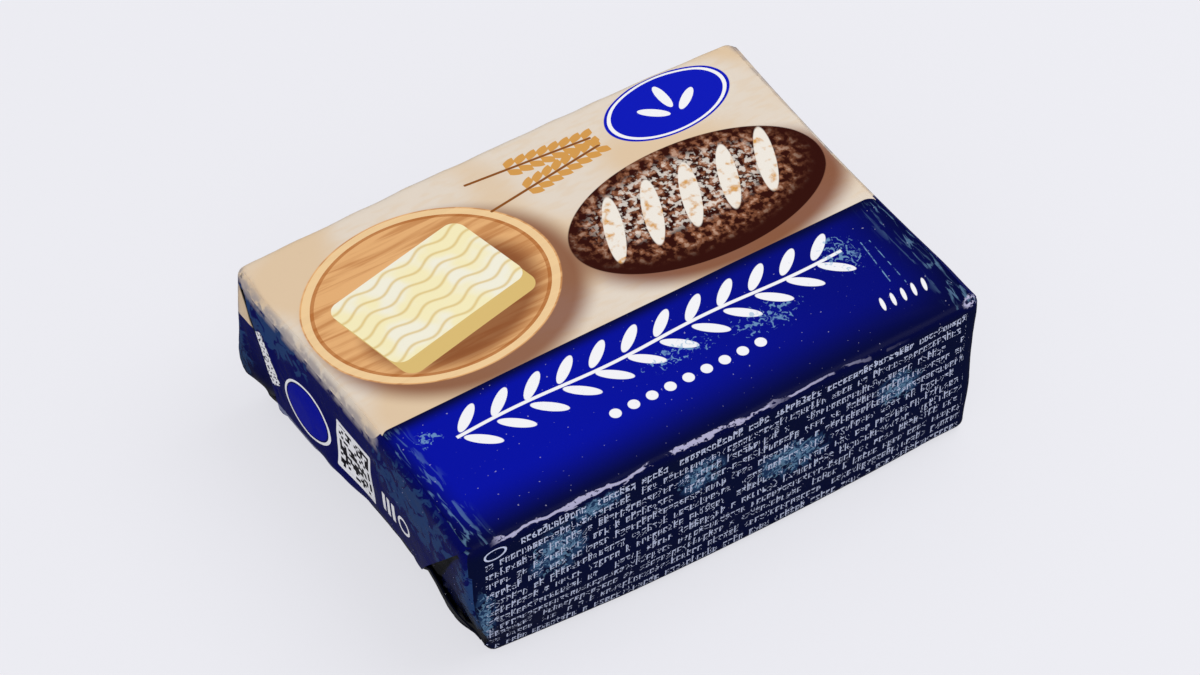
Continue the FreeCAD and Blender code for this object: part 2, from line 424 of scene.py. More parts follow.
    def lay(self, under: Ink, ink: Ink, *coverages: Socket | float) -> Socket:
        """Lays an ink over another.

        Args:
            under: What is printed so far, or a plain ink's hex value.
            ink: What is laid over it, in either of those ways.
            *coverages: What the ink's coverage is the shared part of.

        Returns:
            The print with the ink on it.
        """
        below, above = (linear(tone) if isinstance(tone, str) else tone for tone in (under, ink))
        given = {0: self.both(*coverages), 6: below, 7: above}
        return add_node(self.tree, "Mix", given, data_type="RGBA")[2]

    def lay_all(self, under: Ink, layers: Iterator[Layer]) -> Ink:
        """Lays inks over one another.

        Args:
            under: What is printed so far.
            layers: Each layer's ink and its coverages, from the lowest up.

        Returns:
            The whole print.
        """
        for layer in layers:
            under = self.lay(under, *layer)
        return under


class PrintedLaminate(PrintedSheet):
    """Gravure print under a clear film on thin paper, drawn tight and folded: butter wrap.

    The film gives the inks depth and a soft gloss that small creases break up.  Along the folds and in
    scuffed patches the ink has cracked off, and the pale paper shows, rougher than the rest.
    """

    name: str = "printed_laminate"
    inks: Palette = Palette()
    plan: PrintLayout = PrintLayout()
    gloss_roughness: float = 0.34
    worn_roughness: float = 0.65
    # polypropylene film, its mirroring held low, as creases finer than the bump scatter most of it
    film_index: float = 1.49
    film_level: float = 0.05
    crinkle_size: float = 3.4
    crinkle_depth: float = 0.05
    fine_crinkle_size: float = 1.1
    fine_crinkle_depth: float = 0.015
    # the blue fades along the block, and to navy over these distances from the band's four rims
    blue_fade: Point = (-30.0, 46.0)
    front_fade: float = 12.0
    field_fade: float = 3.0
    left_fade: float = 7.0
    right_fade: float = 13.0
    # the cracked line along the front rim: how far it wanders, its lumps, and where it starts and thins
    crack_sway: float = 3.4
    crack_lumps: float = -2.6
    crack_start: Point = (-45.5, -42.5)
    crack_thick: Point = (14.0, 2.0)
    crack_thin: Point = (36.0, 8.0)
    rubbed_corner: Patch = Patch((48.4, -36.4), (2.6, 1.3), 30.0)

    def __init__(self) -> None:
        """Makes the material: the print, the wear laid over it, and the creased film."""
        super().__init__(self.name)
        ink = self.lay_all(self.blue_ground(), self.layers())
        worn = self.worn()
        film = {
            "Base Color": self.lay(ink, self.bare_paper(), worn),
            "Roughness": self.shifted(self.gloss_roughness, worn, self.worn_roughness - self.gloss_roughness),
            "IOR": self.film_index,
            "Specular IOR Level": self.film_level,
            "Normal": self.creases(),
        }
        shader = add_node(self.tree, "BsdfPrincipled", film)["BSDF"]
        add_node(self.tree, "OutputMaterial", {"Surface": shader})

    def layers(self) -> Iterator[Layer]:
        """Gives what this part of the sheet has on its blue."""
        yield from ()

    def blue_ground(self) -> Socket:
        """Prints the blue: royal in the middle of the top's front band, navy at the folds and past them.

        Returns:
            The blue.
        """
        inks, plan = self.inks, self.plan
        end, rim = plan.half_length, -plan.half_width
        middle = self.both(
            self.fade(self.v, rim + 0.5, rim + self.front_fade),
            self.fade(self.v, plan.field_edge, plan.field_edge - self.field_fade),
            self.fade(self.u, -end - 0.5, -end + self.left_fade),
            self.fade(self.u, end, end - self.right_fade),
        )
        tone = self.lay(inks.royal, inks.royal_far, self.fade(self.u, *self.blue_fade))
        dark = self.lay(inks.navy, inks.night, self.fade(self.v, rim, rim - 3.0))
        return self.lay(dark, tone, middle)

    def cloth(self) -> Socket:
        """Gives the pale field's ground, a woven cloth out of focus.

        Returns:
            Its colour.
        """
        cream, deep = self.inks.cream, self.inks.cream_deep
        cloth = self.lay(cream, deep, self.fade(self.mottle(26.0, 1.0), 0.42, 0.66))
        return self.lay(cloth, deep, self.fade(self.mottle(1.3, 1.0, (0.3, 1.0)), 0.45, 0.75), 0.3)

    def field(self) -> Socket:
        """Covers the pale field.

        Returns:
            The coverage.
        """
        plan = self.plan
        middle, half = (plan.field_back + plan.field_edge) / 2, (plan.field_back - plan.field_edge) / 2
        field = Patch((0.0, middle), (plan.half_length + plan.field_over_end, half))
        return self.plate(field, plan.field_corner)

    def on_blue(self) -> Socket:
        """Covers the blue in front of the pale field."""
        return self.fade(self.v, self.plan.field_edge - 0.2, self.plan.field_edge - 1.2)

    def near_ends(self, line: float, start: float, end: float) -> Socket:
        """Covers what lies near a line across each end: 0 at start away from it, and 1 at end."""
        return self.fade(self.off(self.off(self.u), line), start, end)

    def worn(self) -> Socket:
        """Gives where the worn paper shows: the folds, and fine specks on the blue."""
        specks = self.both(self.fade(self.mottle(0.7, 1.0), 0.80, 0.85), self.on_blue(), 0.5)
        return self.either(self.folds_worn(), specks)

    def bare_paper(self) -> Socket:
        """Gives the worn paper's colour: lilac on the blue, and a warm grey where the print is pale."""
        pale = self.fade(self.v, self.plan.field_edge - 0.5, self.plan.field_edge + 0.5)
        return self.lay(self.inks.worn_paper, self.inks.worn_cloth, pale)

    def folds_worn(self) -> Socket:
        """Gives where the ink has cracked off: a broken line by the front rim, and chips at the pale rims.

        Returns:
            The coverage.
        """
        plan, mottle = self.plan, self.mottle
        sway = self.shifted(-plan.half_width - self.crack_sway / 2, mottle(9.0, 4.0), self.crack_sway)
        front = self.off(self.v, sway)
        around = self.shifted(front, mottle(3.2, 4.0), self.crack_lumps)
        thick = self.both(
            self.fade(around, -0.65, -0.85),
            self.fade(mottle(5.0, 3.0), 0.45, 0.50),
            self.fade(self.u, *self.crack_thick),
            self.fade(mottle(0.9, 3.0), 0.36, 0.46),
        )
        thin = self.both(
            self.fade(front, 0.38, 0.20),
            self.fade(mottle(4.0, 3.0), 0.42, 0.48),
            self.fade(self.u, *self.crack_thin),
        )
        in_front = self.span(self.v, -60.0, 0.0)
        line = self.both(self.either(thick, thin), in_front, self.fade(self.u, *self.crack_start), 0.85)
        rubbed_corner = self.both(self.disc(self.rubbed_corner, 0.5), self.fade(mottle(0.8, 2.0), 0.46, 0.54))
        chips = self.both(
            self.near_ends(plan.half_length + 0.6, 2.4, 0.8),
            self.fade(mottle(2.6, 4.0), 0.34, 0.54),
            self.fade(self.v, plan.field_edge - 1.0, plan.field_edge + 1.0),
            self.fade(self.v, plan.field_back + 1.0, plan.field_back - 1.0),
            0.8,
        )
        return self.either(line, rubbed_corner, chips)

    def flecks_in_patches(self, places: tuple[Patch, ...], grain: float, least: float) -> Socket:
        """Covers flecks in a few patches: rubbed film, and on the ends painted sheen too.

        Args:
            places: The patches.
            grain: The size of a fleck.
            least: How high the noise has to be for a fleck, from 0.4, dense, to 0.7, sparse.

        Returns:
            The coverage.
        """
        patches = self.either(*(self.disc(place, 0.8) for place in places))
        flecks = self.shifted(self.mottle(grain, 4.0, warp=0.8), patches, 0.22)
        return self.both(self.fade(flecks, least + 0.12, least + 0.20), self.fade(patches, 0.0, 0.3))

    def creases(self) -> Socket:
        """Gives the small creases of the film as a bump: coarse ones, and finer ones over them.

        Returns:
            The normal.
        """
        clouds = self.mottle(self.crinkle_size, 3.0, warp=0.8)
        coarse = add_node(self.tree, "Bump", {"Height": clouds, "Distance": self.crinkle_depth * MM})[0]
        clouds = self.mottle(self.fine_crinkle_size)
        fine = {"Height": clouds, "Distance": self.fine_crinkle_depth * MM, "Normal": coarse}
        return add_node(self.tree, "Bump", fine)[0]


class TopPrint(PrintedLaminate):
    """The top's print: a garland on the blue, and a still life of bread and butter on the pale field."""

    name = "printed_laminate_top"
    crinkle_depth = 0.02
    fine_crinkle_depth = 0.004
    # the ornament on the blue: paired leaves on a waving stem, the beads under them and the short strokes
    leaves: Row = Row(-38.0, 74.4, 6.2, -15.3, pair((0.35, 2.7), (3.3, 0.98), 40.0), 0.06)
    beads: Row = Row(-16.0, 31.5, 3.5, -25.0, (Patch(half=(1.05, 1.05)),), 0.08)
    dashes: Row = Row(34.0, 10.5, 2.1, -29.0, (Patch(half=(0.42, 1.6), turn=-16.0),), 0.2)
    # the still life, each thing with the shadow under it
    board: Patch = Patch((-25.0, 13.6), (22.6, 18.8))
    board_shadow: Patch = Patch((-23.2, 10.6), (26.5, 22.0))
    butter_top: Patch = Patch((-25.3, 14.4), (14.6, 8.8), 12.0)
    butter_side: Patch = Patch((-25.0, 12.2), (14.6, 9.8), 12.0)
    butter_shadow: Patch = Patch((-23.4, 9.8), (19.0, 13.5), 12.0)
    butter_corner: float = 2.4
    loaf_crust: Patch = Patch((23.4, 7.6), (24.4, 13.4))
    loaf_round: Patch = Patch((22.4, 9.6), (26.5, 14.6))
    loaf_flour: Patch = Patch((22.0, 10.6), (20.0, 8.8))
    loaf_shadow: Patch = Patch((25.0, 4.6), (29.0, 15.6))
    loaf_cuts: Row = Row(4.0, 38.0, 7.6, 9.2, (Patch(half=(1.75, 8.0), turn=-24.0),), 0.08)
    ears: tuple[Patch, ...] = (Patch((-4.0, 24.5), turn=8.0), Patch((-4.5, 31.5), turn=-5.0))
    stalk: Patch = Patch((9.0, 0.0), (12.0, 0.25))
    grains: Row = Row(5.0, 16.8, 2.1, 0.0, pair((0.0, 1.2), (1.75, 0.78), 24.0), 0.1)
    seal_oval: Patch = Patch((31.8, 29.6), (12.4, 7.2), 4.0)
    sprig: tuple[Patch, ...] = (
        Patch((32.0, 31.3), (0.95, 3.0)),
        Patch((28.6, 28.8), (0.9, 2.9), 52.0),
        Patch((35.2, 28.8), (0.9, 2.9), -52.0),
    )
    # where the film is rubbed, and the two long scratches beside it
    scuffs: tuple[Patch, ...] = (
        Patch((36.0, -16.0), (6.0, 7.0)),
        Patch((17.5, -21.0), (10.0, 4.5)),
        Patch((1.0, -19.5), (11.0, 3.5)),
        Patch((-42.0, -13.0), (4.0, 3.0)),
    )
    scratches: tuple[Patch, ...] = (
        Patch((39.6, -20.5), (5.0, 0.10), 84.0),
        Patch((41.4, -21.5), (5.6, 0.08), 88.0),
    )

    def layers(self) -> Iterator[Layer]:
        """Prints the ornament on the blue, the pale field and the rubbed places on the blue.

        Returns:
            The layers of ink.
        """
        scuff, mottle = self.inks.scuff, self.mottle
        yield from self.ornament()
        cloth = self.cloth()
        for things in (self.board_and_butter, self.straw, self.loaf, self.seal):
            cloth = self.lay_all(cloth, things())
        yield cloth, self.either(self.field(), self.corner_wedges())
        yield scuff, self.flecks_in_patches(self.scuffs, 0.9, 0.60), self.on_blue(), 0.6
        streaks = self.fade(mottle(0.9, 3.0, (1.0, 0.2), 0.5), 0.53, 0.66)
        yield scuff, streaks, self.near_ends(48.0, 5.0, 0.8), self.on_blue(), 0.35
        scratched = self.either(*(self.plate(scratch, scratch.half[1] - 0.01) for scratch in self.scratches))
        yield scuff, scratched, self.fade(mottle(1.1), 0.4, 0.6), 0.7

    def corner_wedges(self) -> Socket:
        """Covers the two wedges of pale field that the blue field's rounded corners leave at the rim.

        Returns:
            The coverage.
        """
        edge, corner, reach = self.plan.field_edge, self.plan.field_corner, self.plan.half_length - 0.8
        strip = self.plate(Patch((0.0, edge - corner / 2), (reach, corner / 2 + 0.2)), 0.05)
        return self.without(strip, self.plate(Patch((0.0, edge - 3 * corner), (reach, 3 * corner)), corner))

    def ornament(self) -> Iterator[Layer]:
        """Prints a garland of paired leaves, a row of beads and a row of strokes, plain ornament in white.

        Returns:
            The layer of ink.
        """
        leaves = self.leaves
        stem = self.fade(self.off(self.v, self.waving(leaves.level, self.u, 0.17, 0.35)), 0.36, 0.28)
        stem = self.both(stem, self.span(self.u, leaves.start, leaves.start + leaves.length))
        rows = (self.row_of(row) for row in (leaves, self.beads, self.dashes))
        yield self.inks.white, self.either(stem, *rows)

    def board_and_butter(self) -> Iterator[Layer]:
        """Prints a pat of butter with wavy ridges on a round wooden board.

        Returns:
            The layers of ink.
        """
        inks, mottle = self.inks, self.mottle
        yield inks.cloth_shade, self.disc(self.board_shadow, 0.2), 0.85
        grain = self.fade(mottle(1.5, 3.0, (0.07, 1.0), 0.4), 0.42, 0.66)
        wood = self.lay(inks.board, inks.board_dark, grain, 0.5)
        yield wood, self.disc(self.board, 0.015)
        near = self.nearness(self.board)
        yield inks.board_rim, self.span(near, 0.02, 0.085), 0.85
        yield inks.board_dark, self.span(near, 0.085, 0.115), 0.6
        shadow = self.both(self.disc(self.butter_shadow, 0.25), self.fade(near, 0.06, 0.1))
        yield inks.cloth_shade, shadow, 0.8
        yield inks.butter_shade, self.plate(self.butter_side, self.butter_corner)
        top = self.butter_top
        across = add_node(self.tree, "SeparateXYZ", {0: self.local(Patch(top.centre, turn=top.turn))})
        ridge = self.waving(across["Y"], across["X"], 0.8, 0.55)
        folds = add_node(self.tree, "Math", {0: ridge, 1: 1.25}, operation="PINGPONG")[0]
        soft = self.lay(inks.butter, inks.butter_light, self.fade(mottle(9.0), 0.42, 0.62))
        butter = self.lay(soft, inks.butter_shade, self.fade(folds, 0.5, 0.0), 0.75)
        yield butter, self.plate(top, self.butter_corner)

    def loaf(self) -> Iterator[Layer]:
        """Prints a whole dark loaf, dusted with flour and scored across.

        Returns:
            The layers of ink.
        """
        inks, rough = self.inks, self.mottle(1.5, 4.0)
        yield inks.cloth_shade, self.disc(self.loaf_shadow, 0.24), 0.9
        crust = self.lay(inks.crust, inks.crust_light, self.fade(rough, 0.42, 0.60))
        crust = self.lay(crust, inks.crust_warm, self.fade(rough, 0.58, 0.70), 0.8)
        crust = self.lay(crust, inks.crust, self.fade(self.nearness(self.loaf_round), 0.36, 0.06))
        yield crust, self.disc(self.loaf_crust, 0.012)
        powdery = self.fade(self.mottle(1.0, 3.0), 0.48, 0.60)
        yield inks.flour, powdery, self.disc(self.loaf_flour, 0.35), 0.7
        cut_tone = self.lay(inks.flour, inks.straw, self.fade(self.mottle(1.8, 3.0), 0.50, 0.78))
        yield cut_tone, self.row_of(self.loaf_cuts)

    def straw(self) -> Iterator[Layer]:
        """Prints two ears of wheat lying behind the loaf.

        Returns:
            The layers of ink.
        """
        for ear in self.ears:
            own = self.local(ear)
            yield self.inks.straw_dark, self.plate(self.stalk, 0.2, own)
            yield self.inks.straw, self.row_of(self.grains, own)

    def seal(self) -> Iterator[Layer]:
        """Prints a plain oval seal in blue with a white line inside its edge and a sprig of three leaves.

        Returns:
            The layers of ink.
        """
        near = self.nearness(self.seal_oval)
        yield self.inks.seal, self.fade(near, 0.0, 0.012)
        yield self.inks.white, self.span(near, 0.055, 0.115)
        yield self.inks.white, self.either(*(self.disc(leaf) for leaf in self.sprig))


class SidePrint(PrintedLaminate):
    """The long sides' print: rows of fine broken marks where a pack has its small print."""

    name = "printed_laminate_sides"
    film_level = 0.06
    fine_crinkle_depth = 0.012
    # the rows: their pitch and number, how far below the rim they start, and where they begin and end
    row_pitch: float = 2.45
    rows: int = 12
    first_row: float = 1.7
    margins: Point = (-46.6, 47.0)
    mark_pitch: float = 1.02
    # the small ring in the first row, and the run that is left free for it
    badge: Patch = Patch((-44.6, -40.4), (2.2, 1.25))
    badge_run: Point = (-48.0, -41.8)
    # where the film is rubbed hazy
    hazes: tuple[Patch, ...] = (
        Patch((-33.0, -47.0), (7.0, 7.0)),
        Patch((-26.0, -41.0), (6.0, 3.0)),
        Patch((-6.0, -46.0), (6.0, 4.5)),
        Patch((12.0, -53.0), (9.0, 5.0)),
        Patch((33.0, -49.0), (6.0, 4.5)),
        Patch((-47.0, -56.0), (3.0, 11.0)),
        Patch((20.0, 60.0), (12.0, 7.0)),
        Patch((-30.0, 52.0), (10.0, 6.0)),
    )

    def layers(self) -> Iterator[Layer]:
        """Prints the pale field's overlap at the back, the hazy scuffs and the rows of marks.

        Returns:
            The layers of ink.
        """
        yield self.cloth(), self.field()
        yield self.inks.haze_and_sheen, self.flecks_in_patches(self.hazes, 3.0, 0.42), 0.35
        yield self.inks.scuff, self.flecks_in_patches(self.hazes, 0.9, 0.54), 0.38
        yield self.inks.small_print, self.fine_rows()
        yield self.inks.small_print, self.ring(self.badge, 0.2)

    def cells(self, value: Socket, pitch: float) -> tuple[Socket, Socket, Socket]:
        """Divides a distance into cells.

        Args:
            value: The distance.
            pitch: How long a cell is.

        Returns:
            The distance in cells, the cell's number, and the share of the cell that is passed.
        """
        count = add_node(self.tree, "Math", {0: value, 1: pitch}, operation="DIVIDE")[0]
        number = add_node(self.tree, "Math", {0: count}, operation="FLOOR")[0]
        return count, number, add_node(self.tree, "Math", {0: count}, operation="FRACT")[0]

    def fine_rows(self) -> Socket:
        """Covers the rows of fine marks down both long sides: random strokes, gathered as small print is.

        Returns:
            The coverage.
        """
        plan, tree, both, span = self.plan, self.tree, self.both, self.span
        start = {0: self.off(self.v), 1: plan.half_width + self.first_row}
        below = add_node(tree, "Math", start, operation="SUBTRACT")[0]
        row, number, in_row = self.cells(below, self.row_pitch)
        _, mark, in_mark = self.cells(self.u, self.mark_pitch)
        key = add_node(tree, "CombineXYZ", {"X": mark, "Y": number})[0]
        draws = add_node(tree, "TexWhiteNoise", {"Vector": key}, noise_dimensions="2D")["Color"]
        shape, stem, bar = add_node(tree, "SeparateColor", {0: draws})
        # a few marks reach above or below the row's own band, and a few are left out as spaces
        tall = both(span(shape, 0.80, 1.0), span(in_row, 0.02, 0.3))
        deep = both(span(shape, 0.14, 0.24), span(in_row, 0.7, 0.95))
        body = self.either(span(in_row, 0.24, 0.76), tall, deep)
        marked = span(shape, 0.13, 1.0)
        # the noise's own level lines give the curls, in another place of the noise for each row
        spread = add_node(tree, "CombineXYZ", {"X": self.u, "Y": self.shifted(below, number, 5.3)})[0]
        given = {"Vector": spread, "Scale": 1.15, "Detail": 0.0}
        curl = add_node(tree, "TexNoise", given, noise_dimensions="2D")["Fac"]
        first_row = span(number, -0.5, 0.5)
        curls = self.either(span(curl, 0.455, 0.545), both(first_row, span(curl, 0.40, 0.60)))
        strokes = self.either(
            both(curls, span(in_mark, 0.0, 0.80)),
            both(span(in_mark, 0.03, 0.24), span(stem, 0.40, 1.0)),
            both(span(in_row, 0.24, 0.34), span(bar, 0.5, 1.0), span(in_mark, 0.0, 0.78)),
        )
        within = both(span(self.u, *self.margins), span(row, 0.0, float(self.rows)))
        sides = self.either(self.fade(self.v, 0.0, -1.0), span(self.v, plan.field_back + 2.2, 200.0))
        badge_room = both(span(self.u, *self.badge_run), first_row)
        return self.without(both(body, strokes, marked, within, sides, 0.85), badge_room)


class EndPrint(PrintedLaminate):
    """The ends' print, on the flaps and the tucks: a ring, a chequered panel, bars and a speckled patch."""

    name = "printed_laminate_ends"
    gloss_roughness = 0.24
    film_level = 0.10
    crinkle_depth = 0.10
    fine_crinkle_depth = 0.02
    # how much of the brighter blue shows by the rim
    blue_share: float = 0.38
    # how far past the rim the top flap's cut edge lies on the sheet
    cut_edge: float = 20.6
    # how far in from the long side the top flap's slanted edge runs, and how it bends on its way down, which
    # the painted slit shadow follows
    slit_run: float = 13.4
    slit_curve: float = 0.7
    # the marks on the left flap, and the panel of bars on the right one
    ring_mark: Patch = Patch((-63.1, 13.5), (5.2, 6.8))
    panel: Patch = Patch((-62.1, 0.0), (5.6, 5.1))
    squares: Patch = Patch((-62.1, 0.0), (4.8, 4.4))
    square_size: float = 0.625
    bar: Patch = Patch((0.0, -63.6), (0.45, 2.0))
    small_ring: Patch = Patch((-63.8, -14.9), (1.9, 1.9))
    speckled: Patch = Patch((-61.6, 26.0), (4.9, 1.7), 37.0)
    bar_panel: Patch = Patch((62.0, 8.0), (5.0, 9.0))
    bar_lines: Patch = Patch((62.0, 8.0), (4.0, 8.0))
    # where the film is rubbed hazy, and where painted sheen stands for the glints of the crinkled film
    hazes: tuple[Patch, ...] = (
        Patch((-54.0, 26.0), (6.0, 16.0)),
        Patch((-55.0, -20.0), (8.0, 18.0)),
        Patch((-48.0, -52.0), (9.0, 16.0)),
        Patch((-48.0, 56.0), (9.0, 14.0)),
        Patch((55.0, 5.0), (8.0, 30.0)),
    )

    def layers(self) -> Iterator[Layer]:
        """Prints the field's overlap, the marks, the bare cut edge, the hazes with their painted sheen, and
        the painted shadow in the folds.

        Returns:
            The layers of ink.
        """
        inks, plan, out = self.inks, self.plan, self.off(self.v)
        near_rim = self.fade(out, plan.half_width + 24.0, plan.half_width + 8.0)
        yield inks.royal_far, near_rim, self.blue_share
        strip = self.span(self.v, plan.half_width - 0.6, plan.field_back)
        yield self.cloth(), self.either(self.field(), strip)
        yield from self.marks()
        edge = self.near_ends(plan.half_length + self.cut_edge, 0.7, 0.4)
        yield inks.small_print, edge, self.fade(out, 37.0, 36.0), 0.4
        # painted sheen: cloudy teal glints of the crinkled film over the ends, partly scuffs of the film
        yield inks.haze_and_sheen, self.flecks_in_patches(self.hazes, 2.2, 0.46), 0.5
        # painted shadow in the fold slits and on the low parts of the tucks
        yield inks.painted_fold_shadow, self.fold_shadow_cover(out)

    def fold_shadow_cover(self, out: Socket) -> Socket:
        """Covers the painted shadow of the folds: the slits beside the top flap and the low parts of the
        tucks.

        Args:
            out: How far from the sheet's middle line a place lies.

        Returns:
            The coverage.
        """
        tree, rim = self.tree, self.plan.half_width
        share = {0: out, 1: rim + 0.4, 2: rim + 21.9, 3: 0.0, 4: 1.0}
        down = add_node(tree, "MapRange", share, clamp=True)["Result"]
        curved = add_node(tree, "Math", {0: down, 1: self.slit_curve}, operation="POWER")[0]
        way_in = self.shifted(self.plan.half_length + 0.6, curved, self.slit_run)
        past = add_node(tree, "Math", {0: self.off(self.u), 1: way_in}, operation="SUBTRACT")[0]
        opening = self.fade(self.shifted(past, down, 1.6), -1.4, -0.7)
        slit = self.both(opening, self.span(out, rim + 1.0, rim + 40.0))
        return self.either(slit, self.both(self.fade(out, rim + 16.0, rim + 28.0), 0.75))

    def marks(self) -> Iterator[Layer]:
        """Prints the plain marks on both top flaps.

        Returns:
            The layers of ink.
        """
        inks, tree, white = self.inks, self.tree, self.inks.white
        near = self.nearness(self.ring_mark)
        yield inks.royal, self.fade(near, 0.12, 0.16), 0.8
        yield white, self.span(near, 0.005, 0.09)
        yield white, self.plate(self.panel, 0.3)
        grid = {0: self.place, 1: (1 / self.square_size, 1 / self.square_size, 1.0)}
        cells = add_node(tree, "VectorMath", grid, operation="MULTIPLY")[0]
        blocks = add_node(tree, "VectorMath", {0: cells}, operation="FLOOR")[0]
        chance = add_node(tree, "TexWhiteNoise", {"Vector": blocks}, noise_dimensions="2D")["Value"]
        yield inks.dark_print, self.span(chance, 0.5, 1.0), self.plate(self.squares, 0.1)
        turned = add_node(tree, "CombineXYZ", {"X": self.v, "Y": self.u})[0]
        cell, run = self.repeated(-12.4, 1.5, 0.0, turned)
        bars = self.both(self.plate(self.bar, 0.1, cell), self.span(run, 0.0, 4.4))
        yield white, self.either(bars, self.ring(self.small_ring, 0.3))
        specks = self.lay(white, inks.navy, self.fade(self.mottle(0.6, 1.0), 0.46, 0.36))
        yield specks, self.plate(self.speckled, 0.6)
        yield white, self.plate(self.bar_panel, 0.4)
        across = add_node(tree, "CombineXYZ", {"X": self.v})[0]
        given = {"Vector": across, "Scale": 2.1, "Detail": 0.0}
        wide = add_node(tree, "TexNoise", given, noise_dimensions="2D")["Fac"]
        yield inks.dark_print, self.plate(self.bar_lines, 0.2), self.fade(wide, 0.50, 0.52)


# ---- Modelling helpers ----


def only(piece: Piece) -> None:
    """Selects one piece alone and makes it the active one.

    Args:
        piece: The piece.
    """
    bpy.ops.object.select_all(action="DESELECT")
    piece.select_set(True)
    bpy.context.view_layer.objects.active = piece


def select_edges(piece: Piece, wanted: Callable[[Vector], bool]) -> None:
    """Selects some of a piece's edges.

    Args:
        piece: The piece.
        wanted: Tells from the way between an edge's two ends whether it is selected.
    """
    mesh = piece.data
    mesh.polygons.foreach_set("select", [False] * len(mesh.polygons))
    mesh.vertices.foreach_set("select", [False] * len(mesh.vertices))
    for edge in mesh.edges:
        start, end = (mesh.vertices[index].co for index in edge.vertices)
        edge.select = wanted(end - start)


def at_vertices(piece: Piece, what: str) -> Array:
    """Gives a value of three numbers at each of a piece's vertices.

    Args:
        piece: The piece.
        what: The value's name on a vertex: co, its place in metres, or normal.

    Returns:
        One row for each vertex.
    """
    flat = np.empty(len(piece.data.vertices) * 3)
    piece.data.vertices.foreach_get(what, flat)
    return flat.reshape(-1, 3)


def points_of(piece: Piece) -> Array:
    """Gives a piece's vertices, in millimetres."""
    return at_vertices(piece, "co") / MM


def set_points(piece: Piece, points: Array) -> None:
    """Moves a piece's vertices to new places, given in millimetres."""
    piece.data.vertices.foreach_set("co", (points * MM).ravel())
    piece.data.update()


def ripple(points: Array, size: float, seed: float, stretch: Spot = (1.0, 1.0, 1.0)) -> Array:
    """Gives a smooth random value from about -1 to 1 at each point, its ups and downs about size apart."""
    scaled = points * np.array(stretch) / size + seed
    return np.array([noise.noise(Vector(point)) for point in scaled])


def ease(value: Array, start: float, end: float) -> Array:
    """Gives 0 where value is start, 1 where it is end, and a smooth change between."""
    share = np.clip((value - start) / (end - start), 0.0, 1.0)
    return share * share * (3 - 2 * share)


def hump(value: Array, middle: float, reach: float) -> Array:
    """Gives 1 where value is middle, falling off smoothly on both sides."""
    return np.exp(-(((value - middle) / reach) ** 2))


def map_sheet(piece: Piece, place: Callable[[Array, Array], tuple[Array, Array]]) -> None:
    """Gives a piece the UV map in which its print is drawn, face by face.

    Args:
        piece: The piece.
        place: Gives the u and v of a face's corners from their places and the face's normal.
    """
    mesh = piece.data
    while mesh.uv_layers:
        mesh.uv_layers.remove(mesh.uv_layers[0])
    layer = mesh.uv_layers.new(name=SHEET_MAP)
    points = points_of(piece)
    for face in mesh.polygons:
        along, across = place(points[list(face.vertices)], np.array(face.normal))
        for loop, u, v in zip(face.loop_indices, along, across):
            layer.data[loop].uv = (u, v)


# ---- The wrapper ----


@dataclass(frozen=True)
class Crease:
    """A straight crease in the paper: a groove, or a ridge where its depth is below zero."""

    start: Spot
    end: Spot
    depth: float
    width: float

    def dent(self, points: Array) -> Array:
        """Gives how far in each point moves, tapering off to both ends of the crease.

        Args:
            points: The points, in millimetres.

        Returns:
            One depth for each point.
        """
        start, run = np.array(self.start), np.array(self.end) - np.array(self.start)
        share = np.clip((points - start) @ run / np.linalg.norm(run) ** 2, 0.0, 1.0)
        off = np.linalg.norm(points - start - share[:, None] * run, axis=1)
        taper = np.sin(np.pi * np.clip(share, 0.04, 0.96)) ** 0.5
        return self.depth * taper * np.exp(-np.abs(off / self.width) ** 1.3)


@dataclass(frozen=True)
class FootDraw:
    """How the soft block gives: its foot is drawn in under the folds, more at the left end than elsewhere."""

    # how high the pull reaches, and where it is full
    reach: float = 12.5
    full: float = 1.5
    # how far it draws in the left end, and how much further or less in places along that end
    left: float = 1.9
    left_at_back: float = 1.2
    front_tuck_stands: float = 1.7
    corner_stands: float = 0.5
    # how far it draws in the long sides, and how much more at the two ends of the front
    sides: float = 0.75
    front_near_left: float = 0.3
    front_near_right: float = -0.3
    # how the upright fold at the back of the left end stands out half way down and in at the rim
    fold_out: float = 1.2
    fold_in: float = 0.9
    # how far the upright fold at the front of the right end lies in
    right_fold_in: float = 0.5

    def moved(self, points: Array) -> Array:
        """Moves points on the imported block's surface to where the drawn-in sheet lies.

        Args:
            points: The points, in millimetres.

        Returns:
            Their new places.
        """
        x, y, z = points.T
        pull = ease(z, self.reach, self.full)
        left = self.left + self.left_at_back * ease(y, 20.0, 32.0) - self.corner_stands * ease(-y, 30.0, 36.0)
        left = (left - self.front_tuck_stands * hump(y, -25.0, 5.0)) * ease(x, -30.0, -42.0)
        fold_out = self.fold_out * hump(z, 10.5, 5.5) * ease(y, 24.0, 36.0)
        fold_in = self.fold_in * ease(z, 22.0, 31.0) * ease(y, 27.0, 36.0)
        right_fold = self.right_fold_in * ease(-y, 25.0, 36.0) * ease(x, 36.0, 46.0) * ease(z, 8.0, 24.0)
        along = left * pull + (fold_in - fold_out) * ease(x, -38.0, -46.0) - right_fold
        near_left, near_right = ease(x, -15.0, -35.0), ease(x, 40.0, 49.0)
        front = self.sides + self.front_near_left * near_left + self.front_near_right * near_right
        across = (front * ease(y, -20.0, -32.0) - self.sides * ease(y, 20.0, 32.0)) * pull
        return np.stack([x + along, y + across, z], axis=1)


